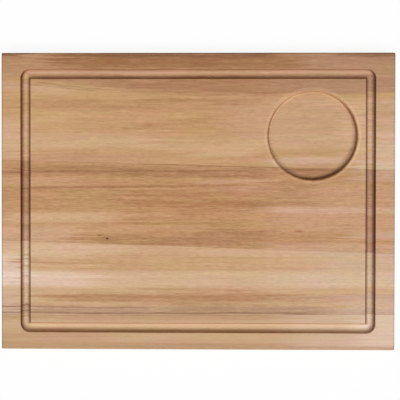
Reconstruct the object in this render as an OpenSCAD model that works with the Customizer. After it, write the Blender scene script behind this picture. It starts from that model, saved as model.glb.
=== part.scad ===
// Steak board: four wooden staves glued edge to edge, planed flat, with a juice
// groove round the top and a shallow round seat for a sauce pot in one corner.
// Millimetres. The origin is under the middle of the board, on its underside.
// +X runs along the grain, to the right. +Y runs to the rear edge.

/* [Board] */
// Length along the grain, left to right
board_length = 400; // [340:5:500]
// Width across the staves, front to rear
board_width = 302; // [290:2:380]
// Thickness
board_thickness = 18; // [12:0.5:30]
// Radius of the rounded top and bottom edges
edge_radius = 1.5; // [0.5:0.25:2.5]
// Radius of the four upright corners
corner_radius = 2; // [1:0.5:10]

/* [Staves] */
// Width of the front stave at its left end
front_stave_left = 33.6; // [26:0.2:42]
// Width of the front stave at its right end
front_stave_right = 36.6; // [26:0.2:42]
// Width of the pale stave at its left end
pale_stave_left = 77.6; // [60:0.2:84]
// Width of the pale stave at its right end
pale_stave_right = 61.9; // [50:0.2:84]
// Width of the dark stave at its left end
dark_stave_left = 81.6; // [60:0.2:90]
// Width of the dark stave at its right end
dark_stave_right = 84.5; // [60:0.2:90]

/* [Juice groove] */
// Diameter of the ball-nosed cutter that routs the groove
cutter_diameter = 10; // [7:0.5:14]
// Depth of the groove below the top face
groove_depth = 4.6; // [3:0.2:7]
// Radius of the sanded rims of the groove
groove_rim = 0.6; // [0.2:0.1:1]
// Wood left outside the groove's wall at the left and right ends
end_margin = 19.6; // [12:0.1:30]
// Wood left outside the groove's wall at the front
front_margin = 17.3; // [12:0.1:26]
// Wood left outside the groove's wall at the rear
rear_margin = 16.6; // [12:0.1:26]
// Radius of the middle line of the groove in its corners
groove_turn_radius = 4.4; // [3:0.2:20]

/* [Pot seat] */
// Diameter of the seat at its wall
seat_diameter = 90; // [60:0.5:100]
// Depth of the seat below the top face
seat_depth = 6; // [4.6:0.2:8]
// Radius of the cove between the seat's floor and its wall
seat_cove = 1.8; // [0.6:0.2:2.4]
// Radius of the rounded rim of the seat
seat_rim = 2.2; // [0.4:0.2:2.2]
// Wood left between the seat's wall and the right run of the groove
seat_end_land = 8.8; // [5:0.1:30]
// Wood left between the seat's wall and the rear run of the groove
seat_rear_land = 12.3; // [5:0.1:30]

/* [Hidden] */
$fn = 96;
// How far a cutting shape runs past the face that it cuts
over = 4;

half_length = board_length / 2;
half_width = board_width / 2;
reach = half_length + over;

// Seams, each as its place from front to rear at the left end and at the right end
front_seam = [-half_width + front_stave_left, -half_width + front_stave_right];
middle_seam = front_seam + [pale_stave_left, pale_stave_right];
rear_seam = middle_seam + [dark_stave_left, dark_stave_right];
front_edge = [-half_width - over, -half_width - over];
rear_edge = [half_width + over, half_width + over];
function seam_y(seam, x) = seam[0] + (seam[1] - seam[0]) * (x + half_length) / board_length;

// Slight angle at which a rim's arc meets the wall and the top face
rim_break = 12;

// The groove's section, with its origin at the top face: how high the middle of the ball
// nose lies, how far out the wall is where the rim's arc starts, and the middle of that arc
cutter_radius = cutter_diameter / 2;
cutter_y = cutter_radius - groove_depth;
rim_y = -groove_rim * cos(rim_break);
wall_x = sqrt(pow(cutter_radius, 2) - pow(max(cutter_y - rim_y, 0), 2));
rim_x = wall_x + groove_rim * cos(rim_break);
// The middle line of the groove, as a rectangle with rounded corners
path_x = half_length - end_margin - cutter_radius;
path_front = -half_width + front_margin + cutter_radius;
path_rear = half_width - rear_margin - cutter_radius;

seat_radius = seat_diameter / 2;
seat_x = path_x - cutter_radius - seat_end_land - seat_radius;
seat_y = path_rear - cutter_radius - seat_rear_land - seat_radius;

// A rectangle about the origin with its corners rounded
module rounded_rectangle(length, width, radius) {
  square([length - 2 * radius, width], center = true);
  square([length, width - 2 * radius], center = true);
  for (x = [-1, 1], y = [-1, 1])
    translate([x * (length / 2 - radius), y * (width / 2 - radius)]) circle(radius);
}

// The board before it is routed: its plan, with the long and the short edges rounded
module blank() {
  intersection() {
    linear_extrude(board_thickness) rounded_rectangle(board_length, board_width, corner_radius);
    translate([0, 0, board_thickness / 2]) rotate([90, 0, 90])
      linear_extrude(board_length + 2 * over, center = true)
        rounded_rectangle(board_width, board_thickness, edge_radius);
    translate([0, 0, board_thickness / 2]) rotate([90, 0, 0])
      linear_extrude(board_width + 2 * over, center = true)
        rounded_rectangle(board_length, board_thickness, edge_radius);
  }
}

// Section of the groove, x across it and y up: the ball nose, with upright walls above it
// where the groove is deep, opened out to rounded rims
module groove_section() {
  translate([0, cutter_y]) circle(cutter_radius);
  if (cutter_y < rim_y)
    translate([-cutter_radius, cutter_y]) square([cutter_diameter, rim_y - cutter_y]);
  difference() {
    translate([-rim_x, rim_y]) square([2 * rim_x, over]);
    for (side = [-1, 1]) translate([side * rim_x, rim_y]) circle(groove_rim);
  }
}

// A straight run of the groove along X, about the origin
module groove_run(length) {
  rotate([90, 0, 90]) linear_extrude(length, center = true) groove_section();
}

// The quarter turn of the groove from +X round to +Y, about the origin
module groove_turn() {
  rotate_extrude(angle = 90) intersection() {
    translate([groove_turn_radius, 0]) groove_section();
    translate([0, -groove_depth - over])
      square([groove_turn_radius + 2 * rim_x, groove_depth + 3 * over]);
  }
}

// The juice groove: four straight runs joined by four turns
module juice_groove() {
  run_x = path_x - groove_turn_radius;
  run_front = path_front + groove_turn_radius;
  run_rear = path_rear - groove_turn_radius;
  corners = [[run_x, run_rear], [-run_x, run_rear], [-run_x, run_front], [run_x, run_front]];
  translate([0, 0, board_thickness]) {
    for (y = [path_front, path_rear]) translate([0, y, 0]) groove_run(2 * run_x);
    for (x = [-path_x, path_x])
      translate([x, (run_front + run_rear) / 2, 0]) rotate(90) groove_run(run_rear - run_front);
    for (turn = [0:3]) translate(corners[turn]) rotate(90 * turn) groove_turn();
  }
}

// The round seat: a flat floor, a cove, a low wall and a rounded rim
module pot_seat() {
  arc_x = seat_radius + seat_rim * cos(rim_break);
  arc_y = -seat_rim * cos(rim_break);
  translate([seat_x, seat_y, board_thickness]) rotate_extrude() {
    translate([0, -seat_depth]) square([seat_radius - seat_cove, seat_depth]);
    translate([0, seat_cove - seat_depth]) square([seat_radius, seat_depth - seat_cove]);
    translate([seat_radius - seat_cove, seat_cove - seat_depth]) circle(seat_cove);
    difference() {
      translate([0, arc_y]) square([arc_x, over]);
      translate([arc_x, arc_y]) circle(seat_rim);
    }
  }
}

// One stave: the part of the routed board between its front seam and its rear seam
module stave(front, rear) {
  difference() {
    intersection() {
      blank();
      translate([0, 0, -over]) linear_extrude(board_thickness + 2 * over) polygon([
        [-reach, seam_y(front, -reach)],
        [reach, seam_y(front, reach)],
        [reach, seam_y(rear, reach)],
        [-reach, seam_y(rear, -reach)]
      ]);
    }
    juice_groove();
    pot_seat();
  }
}

module rear_stave() {
  color([0.74, 0.59, 0.45]) stave(rear_seam, rear_edge);
}

module dark_stave() {
  color([0.66, 0.49, 0.36]) stave(middle_seam, rear_seam);
}

module pale_stave() {
  color([0.80, 0.65, 0.50]) stave(front_seam, middle_seam);
}

module front_stave() {
  color([0.79, 0.66, 0.52]) stave(front_edge, front_seam);
}

rear_stave();
dark_stave();
pale_stave();
front_stave();
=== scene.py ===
import bpy
import math
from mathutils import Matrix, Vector


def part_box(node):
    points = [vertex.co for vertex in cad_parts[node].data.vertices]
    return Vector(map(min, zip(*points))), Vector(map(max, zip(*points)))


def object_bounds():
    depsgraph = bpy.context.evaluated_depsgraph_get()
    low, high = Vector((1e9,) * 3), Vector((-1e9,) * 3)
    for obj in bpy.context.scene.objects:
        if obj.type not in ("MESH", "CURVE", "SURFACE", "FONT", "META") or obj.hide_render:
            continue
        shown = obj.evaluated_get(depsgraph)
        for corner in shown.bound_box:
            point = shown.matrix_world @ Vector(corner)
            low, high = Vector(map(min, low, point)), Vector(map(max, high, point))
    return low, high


# Steak board: four glued staves of warm, striped wood with an oiled finish.
# +X runs along the grain to the right, +Y to the rear edge, +Z up. The scene is in metres.
# The materials and all their values count in millimetres.

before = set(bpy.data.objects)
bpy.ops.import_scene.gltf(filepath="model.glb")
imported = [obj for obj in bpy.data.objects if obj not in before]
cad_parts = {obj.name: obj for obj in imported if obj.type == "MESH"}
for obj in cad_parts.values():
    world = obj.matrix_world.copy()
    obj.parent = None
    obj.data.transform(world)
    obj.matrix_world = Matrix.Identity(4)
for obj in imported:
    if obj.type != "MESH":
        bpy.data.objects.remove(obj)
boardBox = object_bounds()
boardLow, boardHigh = boardBox
perMetre = 1000  # millimetres
print("Board loaded, millimetres:", [round(perMetre * v) for v in boardHigh - boardLow])


# Node helpers. A value that comes from another node is linked, a plain one is set.
# The grid is how far apart nodes stand in the editor, and how many stand in a row.
nodeGrid = {"right": 190, "down": 260, "perRow": 14}


def feed(tree, value, socket):
    if isinstance(value, bpy.types.NodeSocket):
        tree.links.new(value, socket)
    else:
        socket.default_value = value


def addNode(tree, kind, **settings):
    node = tree.nodes.new(kind)
    row, column = divmod(len(tree.nodes) - 1, nodeGrid["perRow"])
    node.location = (nodeGrid["right"] * column, -nodeGrid["down"] * row)
    for name, value in settings.items():
        setattr(node, name, value)
    return node


def calc(tree, operation, *values, clamp=False):
    node = addNode(tree, "ShaderNodeMath", operation=operation, use_clamp=clamp)
    for value, socket in zip(values, node.inputs):
        feed(tree, value, socket)
    return node.outputs[0]


def swing(tree, noise):
    # how far a noise, which runs from 0 to 1, is from its middle
    return calc(tree, "SUBTRACT", noise, 0.5)


def ramp(tree, value, low, high, outLow=0.0, outHigh=1.0):
    # smooth step of a value from low to high
    node = addNode(tree, "ShaderNodeMapRange", interpolation_type="SMOOTHSTEP")
    for item, socket in zip((value, low, high, outLow, outHigh), node.inputs):
        feed(tree, item, socket)
    return node.outputs[0]


def joinPoint(tree, x, y, z):
    node = addNode(tree, "ShaderNodeCombineXYZ")
    for value, socket in zip((x, y, z), node.inputs):
        feed(tree, value, socket)
    return node.outputs[0]


def splitPoint(tree, point):
    node = addNode(tree, "ShaderNodeSeparateXYZ")
    feed(tree, point, node.inputs[0])
    return node.outputs


def scalePoint(tree, point, scale, shift=(0, 0, 0)):
    node = addNode(tree, "ShaderNodeVectorMath", operation="MULTIPLY_ADD")
    for value, socket in zip((point, scale, shift), node.inputs):
        feed(tree, value, socket)
    return node.outputs[0]


def lengthOf(tree, point):
    node = addNode(tree, "ShaderNodeVectorMath", operation="LENGTH")
    feed(tree, point, node.inputs[0])
    return node.outputs["Value"]


def cloud(tree, point, wave, shift, detail=2.0, roughness=0.5):
    # noise that is stretched by giving each direction a wave length of its own
    node = addNode(tree, "ShaderNodeTexNoise", noise_dimensions="3D")
    scale = tuple(1 / length for length in wave)
    feed(tree, scalePoint(tree, point, scale, shift), node.inputs["Vector"])
    node.inputs["Scale"].default_value = 1.0
    node.inputs["Detail"].default_value = detail
    node.inputs["Roughness"].default_value = roughness
    return node.outputs["Fac"]


def tintOf(red, green, blue):
    # a colour as it is seen on a screen, 0 to 255, to the value that a shader takes
    def plain(v):
        v = v / 255
        return v / 12.92 if v <= 0.04045 else ((v + 0.055) / 1.055) ** 2.4
    return (plain(red), plain(green), plain(blue), 1.0)


def mixTint(tree, factor, first, second, blend="MIX"):
    node = addNode(
        tree, "ShaderNodeMix", data_type="RGBA", blend_type=blend, clamp_factor=True)
    feed(tree, factor, node.inputs[0])
    feed(tree, first, node.inputs[6])  # 6 and 7 are the sockets A and B for colours
    feed(tree, second, node.inputs[7])
    return node.outputs[2]


def shade(tree, tint, by):
    # one tint multiplied by another
    return mixTint(tree, 1.0, tint, by, "MULTIPLY")


def stain(tree, tint, mask, look):
    # a tint laid over another one where the mask says
    share = calc(tree, "MULTIPLY", mask, look["strength"])
    return mixTint(tree, share, tint, tintOf(*look["tint"]))


def newGroup(name, inputs, outputs):
    group = bpy.data.node_groups.new(name, "ShaderNodeTree")
    for label, start in inputs.items():
        kind = "NodeSocketVector" if isinstance(start, tuple) else "NodeSocketFloat"
        socket = group.interface.new_socket(name=label, in_out="INPUT", socket_type=kind)
        socket.default_value = start
    for label, kind in outputs.items():
        group.interface.new_socket(
            name=label, in_out="OUTPUT", socket_type="NodeSocket" + kind)
    enter = group.nodes.new("NodeGroupInput")
    leave = group.nodes.new("NodeGroupOutput")
    leave.location = (nodeGrid["right"] * nodeGrid["perRow"], 0)
    return group, enter.outputs, leave.inputs


def useGroup(tree, group, **values):
    # values are given in camelCase and matched to the socket names
    node = addNode(tree, "ShaderNodeGroup", node_tree=group, label=group.name)
    for socket in node.inputs:
        words = socket.name.split()
        key = words[0].lower() + "".join(words[1:])
        if key in values:
            feed(tree, values.pop(key), socket)
    assert not values, values
    return node.outputs


# Sizes of the board, for the materials
boardSize = {
    "halfLength": perMetre * boardHigh.x,
    "halfWidth": perMetre * boardHigh.y,
    "top": perMetre * boardHigh.z,
    "edgeRadius": 1.5,
    "seatMiddle": (116.6, 67.1),
    # the radius of the painted highlight round the seat's rim
    "seatRim": 47.8,
}

# How the grain wanders, from slow to quick: the lengths of its waves along, across and
# through the board, where in the noise it is read, its detail and its share
wanderWaves = {
    "slow": {"wave": (190, 55, 90), "shift": (3, 7, 1), "detail": 1.0, "share": 1.0},
    "quick": {"wave": (55, 14, 30), "shift": (9, 2, 5), "detail": 2.0, "share": 0.45},
    "ripple": {"wave": (24, 7, 12), "shift": (4, 6, 2), "detail": 2.0, "share": 0.35},
}
endGrainTilt = (0.15, 0.95)  # share of the normal along the grain, from side grain to end grain


def makeBoardPlace():
    # Finds a spot in the tree: along the grain, across the growth rings, and where end grain
    # shows. Across is where the ring that the spot lies on meets the top face.
    group, given, out = newGroup("Board Place", {
        "Pith Y": 200.0, "Pith Height": 40.0, "Ring Side": -1.0, "Wander": 2.0,
        "Swell X": 0.0, "Swell Y": 0.0, "Swell Length": 30.0, "Swell Width": 8.0,
        "Swell Push": 0.0,
    }, {
        "Along": "Float", "Across": "Float", "Point": "Vector", "Spot": "Vector",
        "End Grain": "Float",
    })
    seen = addNode(group, "ShaderNodeTexCoord")
    spot = scalePoint(group, seen.outputs["Object"], (perMetre, perMetre, perMetre))
    along, sideways, height = splitPoint(group, spot)
    fromPith = calc(group, "SUBTRACT", sideways, given["Pith Y"])
    belowTop = calc(group, "SUBTRACT", boardSize["top"], height)
    drop = calc(group, "ADD", belowTop, given["Pith Height"])
    square = calc(
        group, "MULTIPLY_ADD", drop, drop, calc(group, "MULTIPLY", fromPith, fromPith))
    square = calc(
        group, "SUBTRACT", square,
        calc(group, "MULTIPLY", given["Pith Height"], given["Pith Height"]))
    reach = calc(group, "SQRT", calc(group, "MAXIMUM", square, 1.0))
    across = calc(group, "MULTIPLY_ADD", reach, given["Ring Side"], given["Pith Y"])

    # the grain wanders slowly along the board, and is pushed aside round a swell
    plan = joinPoint(group, along, across, height)
    sway = 0.0
    for wave in wanderWaves.values():
        noise = cloud(group, plan, wave["wave"], wave["shift"], wave["detail"])
        sway = calc(group, "MULTIPLY_ADD", swing(group, noise), wave["share"], sway)
    swellX = calc(group, "SUBTRACT", along, given["Swell X"])
    swellX = calc(group, "DIVIDE", swellX, given["Swell Length"])
    swellY = calc(group, "SUBTRACT", sideways, given["Swell Y"])
    swellY = calc(group, "DIVIDE", swellY, given["Swell Width"])
    away = calc(
        group, "MULTIPLY_ADD", swellX, swellX, calc(group, "MULTIPLY", swellY, swellY))
    bell = calc(group, "EXPONENT", calc(group, "MULTIPLY", away, -1.0))
    push = calc(group, "MULTIPLY", swellY, bell)
    push = calc(group, "MULTIPLY", push, given["Swell Push"])
    across = calc(group, "MULTIPLY_ADD", sway, given["Wander"], across)
    across = calc(group, "SUBTRACT", across, push)

    facingX = splitPoint(group, seen.outputs["Normal"])[0]
    endGrain = ramp(group, calc(group, "ABSOLUTE", facingX), *endGrainTilt)
    feed(group, along, out["Along"])
    feed(group, across, out["Across"])
    feed(group, joinPoint(group, along, across, height), out["Point"])
    feed(group, spot, out["Spot"])
    feed(group, endGrain, out["End Grain"])
    return group


# How strongly the grain breaks into a stripe's sides, and the deepest that a stripe gets
stripeSides = {"grip": 2.0, "deepest": 1.2}


def makeGrainBand():
    # One stripe of the figure. Left, Right and Bow give its middle line, counted from the
    # board's middle: at the left end, at the right end, and how far it bows out half way.
    group, given, out = newGroup("Grain Band", {
        "Along": 0.0, "Across": 0.0, "Left": 0.0, "Right": 0.0, "Bow": 0.0,
        "Half Width": 4.0, "Front Soft": 2.0, "Rear Soft": 2.0,
        "Start": -220.0, "Stop": 220.0, "Fade": 30.0, "Ragged": 0.0,
    }, {"Mask": "Float"})

    def side(inwards, soft):
        # 0 outside and 1 inside, smooth over the softness to either side
        return ramp(group, inwards, calc(group, "MULTIPLY", soft, -1.0), soft)

    share = calc(group, "DIVIDE", given["Along"], boardSize["halfLength"])
    middle = calc(group, "MULTIPLY", calc(group, "ADD", given["Left"], given["Right"]), 0.5)
    lean = calc(group, "MULTIPLY", calc(group, "SUBTRACT", given["Right"], given["Left"]), 0.5)
    line = calc(group, "MULTIPLY_ADD", share, lean, middle)
    bend = calc(group, "SUBTRACT", 1.0, calc(group, "MULTIPLY", share, share))
    line = calc(group, "MULTIPLY_ADD", bend, given["Bow"], line)
    off = calc(group, "SUBTRACT", given["Across"], line)
    front = side(calc(group, "ADD", given["Half Width"], off), given["Front Soft"])
    rear = side(calc(group, "SUBTRACT", given["Half Width"], off), given["Rear Soft"])
    begin = side(calc(group, "SUBTRACT", given["Along"], given["Start"]), given["Fade"])
    end = side(calc(group, "SUBTRACT", given["Stop"], given["Along"]), given["Fade"])
    mask = calc(group, "MULTIPLY", front, rear)
    mask = calc(group, "MULTIPLY", mask, calc(group, "MULTIPLY", begin, end))
    # the grain breaks the stripe up
    inStripe = calc(group, "MULTIPLY", mask, stripeSides["grip"], clamp=True)
    mask = calc(group, "MULTIPLY_ADD", given["Ragged"], inStripe, mask)
    mask = calc(group, "MINIMUM", mask, stripeSides["deepest"])
    feed(group, calc(group, "MAXIMUM", mask, 0.0), out["Mask"])
    return group


# The layers of the grain, from broad to fine. All are longer along the grain than across it.
fibreLayers = {
    "Tone": {"wave": (80, 8, 12), "shift": (0, 0, 0), "roughness": 0.5},
    "Line": {"wave": (260, 2.0, 4), "shift": (7, 3, 6), "roughness": 0.6},
    "Streak": {"wave": (30, 2.4, 3), "shift": (4, 9, 2), "roughness": 0.55},
    "Fibre": {"wave": (8, 0.95, 1.2), "shift": (6, 1, 8), "roughness": 0.6},
    "Hue": {"wave": (45, 9, 12), "shift": (8, 3, 5), "roughness": 0.55},
}
poreLayer = {"wave": (3.5, 0.45, 0.45), "shift": (2, 5, 3), "detail": 1.0}
poreRange = (0.60, 0.74)  # the noise of that layer, from plain wood to a pore
seedStep = 310.0  # how far apart in one noise two staves are read


def makeWoodFibre():
    group, given, out = newGroup("Wood Fibre", {
        "Point": (0.0, 0.0, 0.0), "Seed": 0.0,
    }, {**{name: "Float" for name in fibreLayers}, "Pore": "Float"})
    start = joinPoint(
        group, calc(group, "MULTIPLY", given["Seed"], seedStep), given["Seed"], 0.0)
    moved = addNode(group, "ShaderNodeVectorMath", operation="ADD")
    feed(group, given["Point"], moved.inputs[0])
    feed(group, start, moved.inputs[1])
    point = moved.outputs[0]
    for name, layer in fibreLayers.items():
        feed(group, cloud(group, point, **layer), out[name])
    feed(group, ramp(group, cloud(group, point, **poreLayer), *poreRange), out["Pore"])
    return group


ringLook = {"wave": (400, 16, 40), "shift": (1, 1, 1), "uneven": 3.0, "rise": 3.0, "end": 0.93}


def makeRingLine():
    # Growth rings: each darkens slowly and ends sharply
    group, given, out = newGroup("Ring Line", {
        "Point": (0.0, 0.0, 0.0), "Spacing": 3.5,
    }, {"Line": "Float"})
    across = splitPoint(group, given["Point"])[1]
    noise = cloud(group, given["Point"], ringLook["wave"], ringLook["shift"])
    turns = calc(group, "DIVIDE", across, given["Spacing"])
    turns = calc(group, "MULTIPLY_ADD", noise, ringLook["uneven"], turns)
    part = calc(group, "FRACT", turns)
    rise = calc(group, "POWER", part, ringLook["rise"])
    line = calc(group, "MULTIPLY", rise, ramp(group, part, 1.0, ringLook["end"]))
    feed(group, line, out["Line"])
    return group


glueCore = 0.3  # share of a glue line's width that is fully dark


def makeGlueLine():
    # The joint between two staves, a thin dark line from the left end to the right end
    group, given, out = newGroup("Glue Line", {
        "Spot": (0.0, 0.0, 0.0), "Left": 0.0, "Right": 0.0, "Width": 0.25,
    }, {"Mask": "Float"})
    along, sideways, height = splitPoint(group, given["Spot"])
    share = calc(group, "DIVIDE", along, 2 * boardSize["halfLength"])
    share = calc(group, "ADD", share, 0.5)
    lean = calc(group, "SUBTRACT", given["Right"], given["Left"])
    line = calc(group, "MULTIPLY_ADD", lean, share, given["Left"])
    off = calc(group, "ABSOLUTE", calc(group, "SUBTRACT", sideways, line))
    core = calc(group, "MULTIPLY", given["Width"], glueCore)
    feed(group, ramp(group, off, given["Width"], core), out["Mask"])
    return group


easedFade = (-0.5, 0.6)  # distance past the start of the rounding, from plain to darker


def makeEasedEdge():
    # The rounded outer edges, which are made a little darker
    group, given, out = newGroup("Eased Edge", {
        "Spot": (0.0, 0.0, 0.0),
    }, {"Mask": "Float"})
    along, sideways, height = splitPoint(group, given["Spot"])
    radius = boardSize["edgeRadius"]
    half = boardSize["top"] / 2
    ends = calc(group, "ABSOLUTE", along)
    ends = calc(group, "SUBTRACT", ends, boardSize["halfLength"] - radius)
    sides = calc(group, "ABSOLUTE", sideways)
    sides = calc(group, "SUBTRACT", sides, boardSize["halfWidth"] - radius)
    faces = calc(group, "ABSOLUTE", calc(group, "SUBTRACT", height, half))
    faces = calc(group, "SUBTRACT", faces, half - radius)
    edge = calc(group, "MINIMUM", calc(group, "MAXIMUM", ends, sides), faces)
    edge = calc(group, "MAXIMUM", edge, calc(group, "MINIMUM", ends, sides))
    feed(group, ramp(group, edge, *easedFade), out["Mask"])
    return group


# How the routed surfaces are found. Tilt is the upward share of the normal, from floor to
# wall. A pair of numbers is where a smooth step starts and where it is full.
routedFinder = {
    "land": 8.0, "landFade": (0.0, 0.5),  # plain wood all round, outside the groove
    "grooveZone": (26.5, 26.0),  # how far in from that land the groove can lie
    "sunk": (0.2, 1.2),
    "rimTop": (0.02, 0.15), "rimFoot": (0.9, 0.5),  # depths between which the rim lies
    "grooveTilt": (0.86, 0.42),
    "seatTilt": (0.95, 0.6), "seatFacing": (-0.9, -0.3),  # the rear of the seat has none
    "seatRim": (1.5, 0.4),
}
# How dark the groove's walls are, by the way they face. The share across the fibres is the darker
# end grain. The plain share is partly burn and partly painted shade. The shares for walls that
# face right and walls that face the rear, the rear more so in the front run, are painted shade and
# painted light.
wallBurnAndShadeShares = {
    "plain": 0.275, "crossGrain": 0.475, "right": 0.25, "rear": -0.275, "rearInFront": -0.475,
    "frontRun": (10.0, -10.0),
}


def makeRoutedWall():
    # The groove and the seat. Routed is their whole surface. The walls are what is steep in
    # each of them.
    group, given, out = newGroup("Routed Wall", {
        "Spot": (0.0, 0.0, 0.0),
    }, {"Routed": "Float", "Groove Wall": "Float", "Seat Wall": "Float", "Seat Rim": "Float"})
    along, sideways, height = splitPoint(group, given["Spot"])
    ends = calc(
        group, "SUBTRACT", boardSize["halfLength"] - routedFinder["land"],
        calc(group, "ABSOLUTE", along))
    sides = calc(
        group, "SUBTRACT", boardSize["halfWidth"] - routedFinder["land"],
        calc(group, "ABSOLUTE", sideways))
    margin = calc(group, "MINIMUM", ends, sides)
    inside = ramp(group, margin, *routedFinder["landFade"])
    nearEdge = ramp(group, margin, *routedFinder["grooveZone"])
    sunk = calc(group, "SUBTRACT", boardSize["top"], height)
    routed = calc(group, "MULTIPLY", inside, ramp(group, sunk, *routedFinder["sunk"]))
    feed(group, routed, out["Routed"])

    # walls that cut across the fibres are the darkest, as end grain is; beyond that the steep
    # walls and the groove's rim get painted shade, more on walls that face right and less on walls
    # that face the rear
    normal = addNode(group, "ShaderNodeTexCoord").outputs["Normal"]
    right, rear, up = splitPoint(group, normal)
    rim = calc(
        group, "MULTIPLY", ramp(group, sunk, *routedFinder["rimTop"]),
        ramp(group, sunk, *routedFinder["rimFoot"]))
    steep = calc(group, "MAXIMUM", ramp(group, up, *routedFinder["grooveTilt"]), rim)
    wall = calc(group, "MULTIPLY", steep, nearEdge)
    frontRun = ramp(group, sideways, *wallBurnAndShadeShares["frontRun"])
    byRear = calc(
        group, "MULTIPLY_ADD", frontRun, wallBurnAndShadeShares["rearInFront"], wallBurnAndShadeShares["rear"])
    dark = calc(
        group, "MULTIPLY_ADD", calc(group, "ABSOLUTE", right), wallBurnAndShadeShares["crossGrain"],
        wallBurnAndShadeShares["plain"])
    dark = calc(group, "MULTIPLY_ADD", right, wallBurnAndShadeShares["right"], dark)
    dark = calc(group, "MULTIPLY_ADD", rear, byRear, dark, clamp=True)
    wall = calc(group, "MULTIPLY", wall, dark)
    feed(group, calc(group, "MULTIPLY", inside, wall), out["Groove Wall"])

    # the seat's wall is made paler, except at the rear of the seat: painted light that lifts the
    # shade on its walls
    wall = calc(
        group, "MULTIPLY", ramp(group, up, *routedFinder["seatTilt"]),
        calc(group, "SUBTRACT", 1.0, nearEdge))
    wall = calc(group, "MULTIPLY", wall, ramp(group, rear, *routedFinder["seatFacing"]))
    feed(group, wall, out["Seat Wall"])
    # a ring round the seat's rim is made paler and cooler: a painted highlight
    seatX, seatY = boardSize["seatMiddle"]
    away = lengthOf(group, scalePoint(group, given["Spot"], (1, 1, 0), (-seatX, -seatY, 0)))
    offRim = calc(group, "ABSOLUTE", calc(group, "SUBTRACT", away, boardSize["seatRim"]))
    feed(group, ramp(group, offRim, *routedFinder["seatRim"]), out["Seat Rim"])
    return group


oilLook = {
    "streak": 0.25, "pore": 0.18, "endGrain": 0.15, "dullest": 0.95,
    "fibreHeight": 0.5, "streakHeight": 0.3, "poreHeight": -0.8,
}


def makeOiledSurface():
    # Roughness and relief of planed, sanded and oiled wood
    group, given, out = newGroup("Oiled Surface", {
        "Streak": 0.5, "Fibre": 0.5, "Pore": 0.0, "End Grain": 0.0, "Gloss": 0.5,
    }, {"Roughness": "Float", "Height": "Float"})
    rough = calc(
        group, "MULTIPLY_ADD", swing(group, given["Streak"]), oilLook["streak"],
        given["Gloss"])
    rough = calc(group, "MULTIPLY_ADD", given["Pore"], oilLook["pore"], rough)
    rough = calc(group, "MULTIPLY_ADD", given["End Grain"], oilLook["endGrain"], rough)
    feed(group, calc(group, "MINIMUM", rough, oilLook["dullest"]), out["Roughness"])
    height = calc(group, "MULTIPLY", given["Streak"], oilLook["streakHeight"])
    height = calc(group, "MULTIPLY_ADD", given["Fibre"], oilLook["fibreHeight"], height)
    height = calc(group, "MULTIPLY_ADD", given["Pore"], oilLook["poreHeight"], height)
    feed(group, height, out["Height"])
    return group


boardPlace = makeBoardPlace()
grainBand = makeGrainBand()
woodFibre = makeWoodFibre()
ringLine = makeRingLine()
glueLine = makeGlueLine()
easedEdge = makeEasedEdge()
routedWall = makeRoutedWall()
oiledSurface = makeOiledSurface()
print("Wood groups built")


def frontOf(node):
    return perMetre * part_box(node)[0].y


def rearOf(node):
    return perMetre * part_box(node)[1].y


# Seams between the staves, each as its place at the left end and at the right end
seams = {
    "rear": (rearOf("dark_stave"), frontOf("rear_stave")),
    "middle": (rearOf("pale_stave"), frontOf("dark_stave")),
    "front": (frontOf("pale_stave"), rearOf("front_stave")),
}

# What the four woods have in common. A tint of four numbers multiplies the wood's own, and
# one of three is laid over it with a strength.
woodLook = {
    "paler": (1.17, 1.22, 1.31, 1.0), "deeper": (0.865, 0.84, 0.825, 1.0),
    "greener": (0.98, 1.02, 0.96, 1.0), "rosier": (1.02, 0.98, 1.04, 1.0),
    "hueRange": (0.3, 0.7),  # the Hue layer, from greener to rosier
    "ragged": {"Streak": 1.2, "Fibre": 0.6, "Line": 1.0},  # what breaks up a stripe's sides
    "slip": 110.0,  # how far along the grain the ends of a stripe are scattered
    "pore": {"tint": (120, 82, 54), "strength": 0.22},
    "ring": {"tint": (138, 96, 64), "strength": 0.10},
    "endRing": {"tint": (74, 48, 33), "strength": 0.5},
    "endPore": {"tint": (58, 38, 28), "strength": 0.5},
    "glue": {"tint": (92, 62, 44), "strength": 0.3}, "glueWidth": 0.3,
    "worn": {"tint": (120, 92, 70), "strength": 0.12},
    # the groove walls' tint: darker end grain and burn, with painted shade
    "grooveWall": (0.59, 0.37, 0.20, 1.0), "grooveWallShare": 0.9,
    # a paler seat wall, which is painted light on its shaded side, and a paler, cooler seat rim,
    # which is a painted highlight
    "seatWall": (1.25, 1.15, 1.02, 1.0), "seatRim": (1.12, 1.16, 1.24, 1.0),
    "routedSheen": 0.2,
    "ior": 1.45, "specular": 0.12, "relief": 0.25, "reliefDepth": 0.3,
}


def addStripes(tree, tint, bands, place, fibre):
    # The stripes that the eye picks out, with sides that are broken up by the grain
    ragged = 0.0
    for layer, share in woodLook["ragged"].items():
        ragged = calc(tree, "MULTIPLY_ADD", swing(tree, fibre[layer]), share, ragged)
    scattered = calc(
        tree, "MULTIPLY_ADD", swing(tree, fibre["Line"]), woodLook["slip"], place["Along"])
    for name, band in bands.items():
        left, right, bow = band["line"]
        frontSoft, rearSoft = band["soft"]
        start, stop, fade = band["reach"]
        along = place["Along"] if band.get("steady") else scattered
        mask = useGroup(
            tree, grainBand, along=along, across=place["Across"], left=left, right=right,
            bow=bow, halfWidth=band["half"], frontSoft=frontSoft, rearSoft=rearSoft,
            start=start, stop=stop, fade=fade, ragged=ragged)["Mask"]
        mask.node.label = name
        tint = stain(tree, tint, mask, band)
    return tint


def addKnot(tree, tint, knot, spot, fibre):
    # A knot with a dark heart and a soft halo, longer along the grain than across it
    x, y = knot["middle"]
    scale = knot["alongScale"]
    away = lengthOf(tree, scalePoint(tree, spot, (scale, 1, 0), (-scale * x, -y, 0)))
    away = calc(tree, "MULTIPLY_ADD", swing(tree, fibre["Streak"]), knot["wobble"], away)
    tint = stain(tree, tint, ramp(tree, away, *knot["haloFade"]), knot["halo"])
    return stain(tree, tint, ramp(tree, away, *knot["heartFade"]), knot["heart"])


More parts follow.
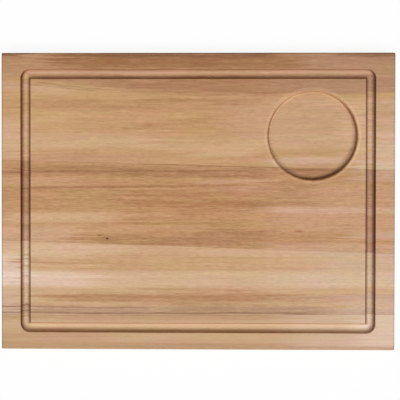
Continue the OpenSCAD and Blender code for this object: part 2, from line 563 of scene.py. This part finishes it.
def addRouting(tree, tint, stave, routed):
    # The groove and the seat: a tint over the whole routed surface, darker groove walls, a paler
    # seat wall and a paler seat rim. The routed tint is a painted sheen where it is paler and
    # cooler, and only darker on the dark stave. The groove walls' darkening is partly end grain
    # and burn and partly painted shade. The paler seat wall is painted light, and the paler rim is
    # a painted highlight.
    tint = mixTint(tree, routed["Routed"], tint, shade(tree, tint, stave["routedTint"]))
    share = calc(tree, "MULTIPLY", routed["Groove Wall"], woodLook["grooveWallShare"])
    tint = mixTint(tree, share, tint, shade(tree, tint, woodLook["grooveWall"]))
    tint = mixTint(tree, routed["Seat Wall"], tint, shade(tree, tint, woodLook["seatWall"]))
    return mixTint(tree, routed["Seat Rim"], tint, shade(tree, tint, woodLook["seatRim"]))


def makeWood(stave):
    wood = bpy.data.materials.new(stave["wood"])
    wood.use_nodes = True
    tree = wood.node_tree
    tree.nodes.clear()
    finish = addNode(tree, "ShaderNodeBsdfPrincipled")
    result = addNode(tree, "ShaderNodeOutputMaterial")
    tree.links.new(finish.outputs[0], result.inputs[0])
    place = useGroup(tree, boardPlace, **stave["place"])
    fibre = useGroup(tree, woodFibre, point=place["Point"], seed=stave["seed"])

    # depth is how much paler or deeper than its stripe each fibre is
    depth = 0.5
    for layer, strength in stave["grain"].items():
        depth = calc(tree, "MULTIPLY_ADD", swing(tree, fibre[layer]), strength, depth)
    tint = addStripes(tree, tintOf(*stave["tint"]), stave["bands"], place, fibre)
    paler = shade(tree, tint, woodLook["paler"])
    deeper = shade(tree, tint, woodLook["deeper"])
    tint = mixTint(tree, depth, paler, deeper)
    greener = shade(tree, tint, woodLook["greener"])
    rosier = shade(tree, tint, woodLook["rosier"])
    tint = mixTint(tree, ramp(tree, fibre["Hue"], *woodLook["hueRange"]), greener, rosier)
    if "knot" in stave:
        tint = addKnot(tree, tint, stave["knot"], place["Spot"], fibre)

    # end grain drinks the oil and shows its rings
    rings = useGroup(tree, ringLine, point=place["Point"], spacing=stave["ringSpacing"])["Line"]
    tint = stain(tree, tint, fibre["Pore"], woodLook["pore"])
    ends = shade(tree, tint, stave["endTint"])
    ends = stain(tree, ends, rings, woodLook["endRing"])
    ends = stain(tree, ends, fibre["Pore"], woodLook["endPore"])
    tint = stain(tree, tint, rings, woodLook["ring"])
    tint = mixTint(tree, place["End Grain"], tint, ends)

    for seam in stave["seams"]:
        left, right = seams[seam]
        line = useGroup(
            tree, glueLine, spot=place["Spot"], left=left, right=right,
            width=woodLook["glueWidth"])
        tint = stain(tree, tint, line["Mask"], woodLook["glue"])
    routed = useGroup(tree, routedWall, spot=place["Spot"])
    tint = addRouting(tree, tint, stave, routed)
    worn = useGroup(tree, easedEdge, spot=place["Spot"])
    tint = stain(tree, tint, worn["Mask"], woodLook["worn"])
    feed(tree, tint, finish.inputs["Base Color"])

    surface = useGroup(
        tree, oiledSurface, streak=fibre["Streak"], fibre=fibre["Fibre"], pore=fibre["Pore"],
        endGrain=place["End Grain"], gloss=stave["gloss"])
    sheen = calc(tree, "MULTIPLY", routed["Routed"], woodLook["routedSheen"])
    rough = calc(tree, "SUBTRACT", surface["Roughness"], sheen)
    feed(tree, rough, finish.inputs["Roughness"])
    relief = addNode(tree, "ShaderNodeBump")
    relief.inputs["Strength"].default_value = woodLook["relief"]
    relief.inputs["Distance"].default_value = woodLook["reliefDepth"] / perMetre
    feed(tree, surface["Height"], relief.inputs["Height"])
    feed(tree, relief.outputs["Normal"], finish.inputs["Normal"])
    finish.inputs["IOR"].default_value = woodLook["ior"]
    finish.inputs["Specular IOR Level"].default_value = woodLook["specular"]

    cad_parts[stave["node"]].material_slots[0].material = wood
    print(stave["node"], "has its wood:", len(stave["bands"]), "stripes")


# The staves. Place tells where the tree's pith lay, on which side of it the stave is, how
# far its grain wanders and where it swells round something. Seed picks its own noise.
# Each stripe has its middle line at the left end, at the right end and its bow, then half its
# width, how soft its front and rear sides are, and where it starts, stops and fades. A
# steady one isn't scattered along the grain.

rearStave = {
    "node": "rear_stave", "wood": "rearStaveWood", "seed": 1.0, "seams": ["rear"],
    "tint": (197, 154, 110), "endTint": (0.5, 0.4, 0.33, 1.0),
    # a cooler tint over the routed surface: painted sheen
    "routedTint": (0.98, 0.99, 1.02, 1.0), "gloss": 0.42, "ringSpacing": 3.6,
    "grain": {"Tone": 0.8, "Line": 0.35, "Streak": 1.1, "Fibre": 1.5},
    "place": {
        "pithY": 230.0, "pithHeight": 60.0, "ringSide": -1.0, "wander": 4.0,
        "swellX": -40.0, "swellY": 97.0, "swellLength": 26.0, "swellWidth": 9.0,
        "swellPush": 2.5},
    "bands": {
        "heartwood": {
            "line": (153, 136, -12), "half": 24, "soft": (2.5, 6), "reach": (-240, 240, 30),
            "tint": (175, 131, 95), "strength": 0.95},
        "heart at left end": {
            "line": (156, 139, -12), "half": 26, "soft": (3, 6), "reach": (-240, -112, 22),
            "tint": (183, 140, 103), "strength": 0.8},
        "heart at right end": {
            "line": (153, 136, -12), "half": 24, "soft": (3, 6), "reach": (95, 240, 25),
            "tint": (177, 136, 104), "strength": 0.8},
        "umber strip": {
            "line": (143, 143, 0), "half": 8, "soft": (4, 6), "reach": (-140, 100, 22),
            "tint": (160, 113, 76), "strength": 0.9},
        "purple vein": {
            "line": (128, 102, 0), "half": 3, "soft": (2, 2), "reach": (-85, 72, 22),
            "tint": (167, 122, 88), "strength": 0.75},
        "pale edge": {
            "line": (117, 82, 0), "half": 4, "soft": (3, 2), "reach": (-240, -128, 14),
            "tint": (206, 168, 132), "strength": 0.6},
        "tan vein": {
            "line": (97, 97, 0), "half": 5, "soft": (3, 4), "reach": (-185, -25, 25),
            "tint": (189, 144, 103), "strength": 0.85},
        "brown streak": {
            "line": (102.5, 102.5, 0), "half": 2.2, "soft": (1.5, 1.5), "reach": (-46, 48, 14),
            "tint": (177, 132, 92), "strength": 0.85},
        "light patch": {
            "line": (91, 96, 0), "half": 4, "soft": (2, 2), "reach": (-14, 75, 12),
            "tint": (202, 159, 118), "strength": 0.75},
        "light at left": {
            "line": (84, 84, 0), "half": 4, "soft": (3, 3), "reach": (-187, -125, 18),
            "tint": (206, 163, 121), "strength": 0.8},
        "right half": {
            "line": (80, 80, 0), "half": 24, "soft": (6, 6), "reach": (18, 240, 25),
            "tint": (201, 160, 122), "strength": 0.75},
        "diagonal brown": {
            "line": (54, 114, 0), "half": 3.5, "soft": (2.5, 2.5), "reach": (-72, 16, 18),
            "tint": (187, 143, 101), "strength": 0.75},
        "light run": {
            "line": (62, 57, 0), "half": 7, "soft": (4, 4), "reach": (-240, 240, 40),
            "tint": (206, 168, 128), "strength": 0.85},
        "rosy foot": {
            "line": (44, 41, 0), "half": 4.5, "soft": (3, 3), "reach": (-240, -45, 30),
            "tint": (195, 150, 113), "strength": 0.8},
        "pale right end": {
            "line": (57, 57, 0), "half": 15, "soft": (5, 8), "reach": (176, 260, 10),
            "tint": (211, 176, 146), "strength": 0.85},
        "right margin": {
            "line": (88, 88, 0), "half": 16, "soft": (5, 4), "reach": (176, 260, 10),
            "tint": (201, 163, 131), "strength": 0.7},
        "thin line at right end": {
            "line": (89, 89, 0), "half": 2.0, "soft": (1.5, 1.5), "reach": (172, 260, 8),
            "tint": (178, 134, 102), "strength": 0.65},
        "foot at right end": {
            "line": (36, 36, 0), "half": 5, "soft": (3, 3), "reach": (166, 260, 8),
            "tint": (216, 184, 156), "strength": 0.85},
        "foot under seat": {
            "line": (39.5, 39.5, 0), "half": 3.5, "soft": (2.5, 2.5), "reach": (72, 152, 12),
            "tint": (212, 173, 141), "strength": 0.8},
        "left margin": {
            "line": (64, 64, 0), "half": 20, "soft": (6, 6), "reach": (-260, -177, 6),
            "tint": (214, 176, 140), "strength": 0.6},
        "between seat and groove": {
            "line": (72, 72, 0), "half": 28, "soft": (6, 6), "reach": (151, 172, 6),
            "tint": (216, 176, 134), "strength": 0.55},
        "inner heart": {
            "line": (121, 121, 0), "half": 4, "soft": (3, 3), "reach": (-40, 52, 16),
            "tint": (162, 116, 77), "strength": 0.5},
        "brown patch": {
            "line": (101, 101, 0), "half": 4, "soft": (2.5, 2.5), "reach": (6, 64, 10),
            "tint": (180, 134, 92), "strength": 0.55},
        "warm middle": {
            "line": (78, 78, 0), "half": 22, "soft": (6, 6), "reach": (-42, 44, 18),
            "tint": (187, 140, 94), "strength": 0.4},
        # a paler line along the middle of the rear groove: a painted highlight
        "light in the groove": {
            "line": (129, 129, 0), "half": 2.2, "soft": (1.5, 1.5), "reach": (-185, 185, 10),
            "tint": (188, 148, 113), "strength": 0.8},
        "first thread at left": {
            "line": (124, 82, 0), "half": 0.7, "soft": (0.7, 0.7), "reach": (-170, -100, 8),
            "tint": (150, 112, 82), "strength": 0.6},
        "second thread at left": {
            "line": (120.5, 82.5, 0), "half": 0.6, "soft": (0.6, 0.6), "reach": (-172, -106, 8),
            "tint": (158, 122, 94), "strength": 0.5},
        "brown under vein": {
            "line": (112, 110, 0), "half": 3.5, "soft": (2.5, 2.5), "reach": (-75, 50, 16),
            "tint": (176, 130, 92), "strength": 0.4},
        "light foot middle": {
            "line": (48.5, 48.5, 0), "half": 2.5, "soft": (2, 2), "reach": (-5, 55, 12),
            "tint": (214, 177, 141), "strength": 0.55},
        # darker along the rear edge: painted shade
        "rear edge": {
            "line": (151.5, 151.5, 0), "half": 5, "soft": (3, 2), "reach": (-112, 76, 14),
            "tint": (138, 97, 66), "strength": 0.9},
        "rear corner": {
            "line": (151.5, 151.5, 0), "half": 5, "soft": (3, 2), "reach": (-260, -174, 6),
            "tint": (138, 97, 66), "strength": 0.8},
        "rear edge right": {
            "line": (151.5, 151.5, 0), "half": 5, "soft": (3, 2), "reach": (146, 260, 10),
            "tint": (140, 100, 72), "strength": 0.8},
    },
}

darkStave = {
    "node": "dark_stave", "wood": "darkStaveWood", "seed": 2.0, "seams": ["rear", "middle"],
    "tint": (190, 145, 101), "endTint": (0.42, 0.32, 0.27, 1.0),
    "routedTint": (0.82, 0.79, 0.83, 1.0), "gloss": 0.42, "ringSpacing": 3.0,
    "grain": {"Tone": 0.7, "Line": 0.9, "Streak": 1.5, "Fibre": 2.4},
    "place": {
        "pithY": -140.0, "pithHeight": 50.0, "ringSide": 1.0, "wander": 3.0,
        "swellX": -92.0, "swellY": -38.0, "swellLength": 12.0, "swellWidth": 4.0,
        "swellPush": 1.2},
    "knot": {
        "middle": (-92.0, -38.0), "alongScale": 0.75, "wobble": 1.2,
        "halo": {"tint": (150, 104, 72), "strength": 0.45}, "haloFade": (4.5, 0.8),
        "heart": {"tint": (64, 38, 27), "strength": 0.9}, "heartFade": (1.25, 0.6)},
    "bands": {
        "rear brown": {
            "line": (34, 26, 0), "half": 5.5, "soft": (2.5, 2), "reach": (-185, 82, 14),
            "tint": (175, 129, 91), "strength": 0.8},
        "light at seam": {
            "line": (39.6, 30, 0), "half": 1.8, "soft": (1.5, 1.5), "reach": (-260, 20, 20),
            "tint": (196, 152, 110), "strength": 0.45},
        "rear thread": {
            "line": (29.3, 32, 0), "half": 0.8, "soft": (0.8, 0.8), "reach": (-185, 60, 14),
            "tint": (152, 106, 74), "strength": 0.45},
        "dark seam line": {
            "line": (41.4, 31.6, 0), "half": 0.8, "soft": (0.8, 0.8), "reach": (-80, 130, 30),
            "tint": (150, 104, 72), "strength": 0.6},
        "light at left": {
            "line": (20.5, 17, 0), "half": 4, "soft": (2, 2), "reach": (-240, -122, 20),
            "tint": (202, 158, 122), "strength": 0.6},
        "light islet": {
            "line": (20.5, 20.5, 0), "half": 2, "soft": (1.3, 1.3), "reach": (8, 78, 15),
            "tint": (202, 158, 122), "strength": 0.9},
        "red line": {
            "line": (13, 18.4, 0), "half": 1.0, "soft": (0.8, 1.2), "reach": (-180, 42, 20),
            "tint": (160, 112, 77), "strength": 0.95},
        "rosy islet": {
            "line": (12.5, 12.5, 0), "half": 3, "soft": (1.5, 1.5), "reach": (18, 76, 12),
            "tint": (198, 154, 119), "strength": 0.8},
        "brown thread": {
            "line": (7, 7, 0), "half": 2.2, "soft": (1.5, 1.5), "reach": (-78, 72, 20),
            "tint": (181, 133, 93), "strength": 0.75},
        "right half": {
            "line": (-6, -8, 0), "half": 24, "soft": (5, 5), "reach": (74, 240, 18),
            "tint": (199, 154, 119), "strength": 0.75},
        "red brown": {
            "line": (-2.5, -2.5, 0), "half": 3.2, "soft": (1.1, 3), "reach": (-84, 70, 25),
            "tint": (174, 125, 85), "strength": 0.9},
        "light streak": {
            "line": (-17, -15, 0), "half": 5, "soft": (2.5, 2.5), "reach": (-196, -84, 18),
            "tint": (211, 172, 132), "strength": 0.9},
        "light thread": {
            "line": (-14, -14, 0), "half": 1.8, "soft": (1.3, 1.3), "reach": (-90, -18, 14),
            "tint": (204, 160, 119), "strength": 0.8},
        "brown after islet": {
            "line": (5, 5, 0), "half": 14, "soft": (5, 5), "reach": (68, 128, 16),
            "tint": (176, 130, 92), "strength": 0.6},
        "warm middle": {
            "line": (-2, -4, 0), "half": 20, "soft": (6, 6), "reach": (-60, 45, 22),
            "tint": (180, 129, 84), "strength": 0.35},
        "light streak right": {
            "line": (-9.5, -9, 0), "half": 3.4, "soft": (2, 2), "reach": (76, 240, 15),
            "tint": (209, 169, 136), "strength": 0.9},
        "thin light": {
            "line": (-27, -26.5, 0), "half": 2, "soft": (1.5, 1.5), "reach": (-85, 10, 20),
            "tint": (200, 155, 114), "strength": 0.75},
        "front brown": {
            "line": (-37.5, -42, 0), "half": 5.5, "soft": (2.5, 3), "reach": (-100, 74, 22),
            "tint": (181, 135, 95), "strength": 0.9},
        "front umber": {
            "line": (-38, -43, 0), "half": 3, "soft": (2, 2), "reach": (-48, 60, 20),
            "tint": (172, 126, 88), "strength": 0.65},
        "front left light": {
            "line": (-33, -31, 0), "half": 8, "soft": (3, 3), "reach": (-240, -119, 11),
            "tint": (206, 165, 129), "strength": 0.9},
        "brown under middle": {
            "line": (-31.5, -31.5, 0), "half": 3, "soft": (1.8, 1.8), "reach": (4, 68, 12),
            "tint": (168, 122, 84), "strength": 0.7},
        "rosy right end": {
            "line": (26, 26, 0), "half": 6, "soft": (3, 3), "reach": (160, 260, 10),
            "tint": (202, 164, 136), "strength": 0.75},
        "front rosy right": {
            "line": (-46, -48, 0), "half": 5, "soft": (3, 3), "reach": (68, 260, 16),
            "tint": (208, 168, 140), "strength": 0.5},
        "light front right end": {
            "line": (-34.5, -34.5, 0), "half": 4, "soft": (2.5, 2.5), "reach": (152, 260, 12),
            "tint": (214, 178, 153), "strength": 0.55},
        "light under streak": {
            "line": (-27, -27, 0), "half": 5, "soft": (2.5, 2.5), "reach": (-150, -62, 16),
            "tint": (205, 162, 119), "strength": 0.45},
        "small mark": {
            "line": (-30.5, -30.5, 0), "half": 0.9, "soft": (0.8, 0.8), "reach": (99, 107, 3),
            "tint": (158, 108, 72), "strength": 0.9, "steady": True},
        "mark by knot": {
            "line": (-34.6, -34.6, 0), "half": 0.7, "soft": (0.7, 0.7), "reach": (-102, -96, 2),
            "tint": (128, 84, 56), "strength": 0.9, "steady": True},
    },
}

paleStave = {
    "node": "pale_stave", "wood": "paleStaveWood", "seed": 3.0, "seams": ["middle", "front"],
    "tint": (205, 166, 126), "endTint": (0.5, 0.4, 0.34, 1.0),
    # a paler, cooler tint over the routed surface: painted sheen
    "routedTint": (0.98, 1.03, 1.04, 1.0), "gloss": 0.42, "ringSpacing": 4.2,
    "grain": {"Tone": 0.4, "Line": 0.7, "Streak": 0.8, "Fibre": 1.5},
    "place": {
        "pithY": 60.0, "pithHeight": 60.0, "ringSide": -1.0, "wander": 2.5},
    "bands": {
        "rear pale": {
            "line": (-48, -60, 0), "half": 7, "soft": (3, 3), "reach": (-240, -75, 24),
            "tint": (214, 178, 142), "strength": 0.9},
        "rear light": {
            "line": (-50.5, -53, 0), "half": 2.6, "soft": (1.8, 1.8), "reach": (5, 180, 18),
            "tint": (211, 173, 137), "strength": 0.8},
        "warm middle": {
            "line": (-62, -64, 0), "half": 8, "soft": (4, 3), "reach": (-115, 62, 25),
            "tint": (198, 156, 112), "strength": 0.8},
        "thin streak": {
            "line": (-61.8, -69.5, 0), "half": 1.0, "soft": (0.9, 0.9), "reach": (-176, -55, 14),
            "tint": (186, 144, 105), "strength": 0.9},
        "thin streak right": {
            "line": (-61.8, -69.5, 0), "half": 0.8, "soft": (0.8, 0.8), "reach": (-40, 160, 14),
            "tint": (190, 149, 112), "strength": 0.5},
        "pale right end": {
            "line": (-62, -62, 0), "half": 11, "soft": (3, 3), "reach": (128, 240, 30),
            "tint": (208, 174, 145), "strength": 0.8},
        "lightest": {
            "line": (-79.5, -79.5, 0), "half": 8, "soft": (2.5, 2.5), "reach": (-260, 260, 20),
            "tint": (211, 175, 139), "strength": 0.95},
        "lightest left": {
            "line": (-79, -80, 0), "half": 7.5, "soft": (2.5, 2.5), "reach": (-260, -112, 30),
            "tint": (224, 194, 167), "strength": 0.9},
        "chalk left end": {
            "line": (-79, -79, 0), "half": 7.5, "soft": (2.5, 2.5), "reach": (-260, -180, 7),
            "tint": (230, 206, 184), "strength": 0.85},
        "lightest right": {
            "line": (-79.5, -79.5, 0), "half": 7.5, "soft": (2.5, 2.5), "reach": (80, 260, 30),
            "tint": (215, 182, 153), "strength": 0.8},
        "orange brown": {
            "line": (-97.5, -98, 0), "half": 4.2, "soft": (2.2, 2.4), "reach": (-148, 98, 26),
            "tint": (181, 134, 97), "strength": 0.95},
        "brown right": {
            "line": (-98, -98, 0), "half": 3.5, "soft": (2, 2), "reach": (104, 260, 20),
            "tint": (192, 152, 121), "strength": 0.85},
        "pale left end": {
            "line": (-63, -63, 0), "half": 9, "soft": (3, 3), "reach": (-260, -180, 6),
            "tint": (224, 196, 170), "strength": 0.85},
        "brown middle": {
            "line": (-97, -97, 0), "half": 10, "soft": (4, 3), "reach": (-52, 54, 18),
            "tint": (180, 134, 92), "strength": 0.45},
        "left margin": {
            "line": (-95, -95, 0), "half": 8, "soft": (2.5, 2.5), "reach": (-260, -172, 8),
            "tint": (208, 174, 141), "strength": 0.8},
        "grey purple": {
            "line": (-111, -111, 0), "half": 4.8, "soft": (2, 1.8), "reach": (-260, 138, 26),
            "tint": (183, 147, 116), "strength": 0.9},
        "grey purple right": {
            "line": (-112, -112, 0), "half": 3, "soft": (2, 2), "reach": (136, 260, 15),
            "tint": (186, 154, 130), "strength": 0.65},
        "left margin front": {
            "line": (-109, -109, 0), "half": 6, "soft": (3, 3), "reach": (-260, -178, 6),
            "tint": (210, 179, 152), "strength": 0.85},
        "pale front right end": {
            "line": (-104, -104, 0), "half": 9, "soft": (4, 3), "reach": (150, 260, 10),
            "tint": (214, 184, 160), "strength": 0.4},
        "brown heart": {
            "line": (-109.5, -109.5, 0), "half": 5, "soft": (2, 2), "reach": (-24, 66, 16),
            "tint": (177, 138, 103), "strength": 0.6},
        "dark thread": {
            "line": (-113.6, -113.6, 0), "half": 0.8, "soft": (0.7, 0.7), "reach": (-240, 130, 25),
            "tint": (150, 112, 84), "strength": 0.7},
        "dark thread rear": {
            "line": (-107.6, -107.6, 0), "half": 0.8, "soft": (0.7, 0.7), "reach": (-240, -60, 20),
            "tint": (154, 116, 87), "strength": 0.8},
    },
}

frontStave = {
    "node": "front_stave", "wood": "frontStaveWood", "seed": 4.0, "seams": ["front"],
    "tint": (201, 163, 124), "endTint": (0.5, 0.4, 0.34, 1.0),
    # a paler, cooler tint over the routed surface: painted sheen
    "routedTint": (1.02, 1.06, 1.06, 1.0), "gloss": 0.42, "ringSpacing": 3.8,
    "grain": {"Tone": 0.4, "Line": 0.8, "Streak": 0.4, "Fibre": 0.6},
    "place": {
        "pithY": -30.0, "pithHeight": 60.0, "ringSide": -1.0, "wander": 2.0},
    "bands": {
        # a paler band that lies in the front groove: a painted highlight on its floor
        "rear light": {
            "line": (-125, -125, 0), "half": 3.5, "soft": (2, 2), "reach": (-260, 260, 20),
            "tint": (208, 172, 139), "strength": 0.6},
        "shade at seam": {
            "line": (-117.5, -116, 0), "half": 3.5, "soft": (2.5, 2), "reach": (-260, 140, 20),
            "tint": (178, 137, 101), "strength": 0.5},
        "brown left": {
            "line": (-141, -141, 0), "half": 8, "soft": (3, 3), "reach": (-260, -96, 24),
            "tint": (193, 152, 117), "strength": 0.75},
        "grey light": {
            "line": (-139, -139, 0), "half": 4, "soft": (2, 2), "reach": (-86, -30, 12),
            "tint": (203, 168, 131), "strength": 0.6},
        "right half": {
            "line": (-134, -134, 0), "half": 24, "soft": (6, 6), "reach": (96, 300, 30),
            "tint": (210, 177, 147), "strength": 0.85},
        "pale right end": {
            "line": (-132, -132, 0), "half": 18, "soft": (8, 6), "reach": (165, 300, 14),
            "tint": (222, 194, 166), "strength": 0.8},
        "brown line": {
            "line": (-145.6, -146, 0), "half": 1.6, "soft": (1.4, 1.4), "reach": (-240, 95, 30),
            "tint": (189, 147, 107), "strength": 0.75},
        "thin brown": {
            "line": (-137.6, -138.4, 0), "half": 0.7, "soft": (0.7, 0.7), "reach": (-200, -60, 20),
            "tint": (186, 143, 106), "strength": 0.5},
        "front edge": {
            "line": (-150.5, -150.5, 0), "half": 3.5, "soft": (2, 2), "reach": (-260, 260, 20),
            "tint": (180, 142, 106), "strength": 0.7},
    },
}

for stave in (rearStave, darkStave, paleStave, frontStave):
    makeWood(stave)


def seenPlainly(tree):
    # 1 for a ray that shows a surface to the eye, straight or in a reflection
    rays = addNode(tree, "ShaderNodeLightPath").outputs
    seen = calc(tree, "MAXIMUM", rays["Is Camera Ray"], rays["Is Glossy Ray"])
    return calc(tree, "MAXIMUM", seen, rays["Is Transmission Ray"])


# Plain pale floor. It looks almost white to the camera, and keeps the board's soft shadow.
floorLook = {
    "tint": (0.90, 0.90, 0.90, 1.0), "roughness": 0.9, "glow": 0.92,
    "halfSize": 6.0, "drop": 0.0001,
}


def makeFloor():
    half = floorLook["halfSize"]
    corners = [(-half, -half, 0), (half, -half, 0), (half, half, 0), (-half, half, 0)]
    mesh = bpy.data.meshes.new("floor")
    mesh.from_pydata(corners, [], [(0, 1, 2, 3)])
    floor = bpy.data.objects.new("floor", mesh)
    floor.location.z = boardLow.z - floorLook["drop"]
    bpy.context.collection.objects.link(floor)

    cover = bpy.data.materials.new("floorPaint")
    cover.use_nodes = True
    tree = cover.node_tree
    tree.nodes.clear()
    paint = addNode(tree, "ShaderNodeBsdfPrincipled")
    paint.inputs["Base Color"].default_value = floorLook["tint"]
    paint.inputs["Roughness"].default_value = floorLook["roughness"]
    paint.inputs["Specular IOR Level"].default_value = 0.0
    shine = addNode(tree, "ShaderNodeEmission")
    both = addNode(tree, "ShaderNodeMixShader")
    share = calc(tree, "MULTIPLY", seenPlainly(tree), floorLook["glow"])
    feed(tree, share, both.inputs[0])
    tree.links.new(paint.outputs[0], both.inputs[1])
    tree.links.new(shine.outputs[0], both.inputs[2])
    result = addNode(tree, "ShaderNodeOutputMaterial")
    tree.links.new(both.outputs[0], result.inputs[0])
    mesh.materials.append(cover)


makeFloor()
print("Floor laid")


# Studio light: a softbox at the front right, a weaker one at the front left, and a pale room.
# A level is what a lamp alone gives to a flat white surface. The warm light of the room and
# the cool one of the lamps make white together.
studio = {
    "key": {"towards": (0.45, -0.45, 0.78), "spread": 28.0, "level": 0.49},
    "fill": {"towards": (-0.265, -0.57, 0.78), "spread": 24.0, "level": 0.34},
    "lampTint": (0.971, 1.024, 1.071),
    "room": 0.184,
    "roomTint": (1.0, 0.75, 0.575, 1.0),
    "seenTint": (1.0, 1.0, 1.0, 1.0),
}


def addSoftbox(name, towards, spread, level):
    # a wide and distant lamp
    lamp = bpy.data.lights.new(name, "SUN")
    lamp.angle = math.radians(spread)
    lamp.energy = level * math.pi / Vector(towards).normalized().z
    lamp.color = studio["lampTint"]
    box = bpy.data.objects.new(name, lamp)
    box.location = towards
    box.rotation_euler = Vector(towards).to_track_quat("Z", "Y").to_euler()
    bpy.context.collection.objects.link(box)


def makeRoom():
    room = bpy.data.worlds.new("room")
    room.use_nodes = True
    tree = room.node_tree
    tree.nodes.clear()
    seen = seenPlainly(tree)
    glow = addNode(tree, "ShaderNodeBackground")
    tint = mixTint(tree, seen, studio["roomTint"], studio["seenTint"])
    feed(tree, ramp(tree, seen, 0.0, 1.0, studio["room"], 1.0), glow.inputs["Strength"])
    feed(tree, tint, glow.inputs["Color"])
    result = addNode(tree, "ShaderNodeOutputWorld")
    tree.links.new(glow.outputs[0], result.inputs[0])
    bpy.context.scene.world = room


for name in ("key", "fill"):
    addSoftbox(name + "Softbox", **studio[name])
makeRoom()
print("Light set")


# Camera straight above, leaning by less than a degree. Degrees, and millimetres in the lens.
view = {
    "place": (0.0151, 0.0119, 0.878), "turn": (-0.692, 0.844, 0.085),
    "lens": 76.2, "sensor": 36.0, "near": 0.05, "far": 50.0,
}

lens = bpy.data.cameras.new("camera")
lens.lens = view["lens"]
lens.sensor_width = view["sensor"]
lens.clip_start = view["near"]
lens.clip_end = view["far"]
camera = bpy.data.objects.new("camera", lens)
camera.location = view["place"]
camera.rotation_euler = [math.radians(v) for v in view["turn"]]
bpy.context.collection.objects.link(camera)
bpy.context.scene.camera = camera

bpy.context.scene.view_settings.view_transform = "Standard"

print("Camera and sizes done")
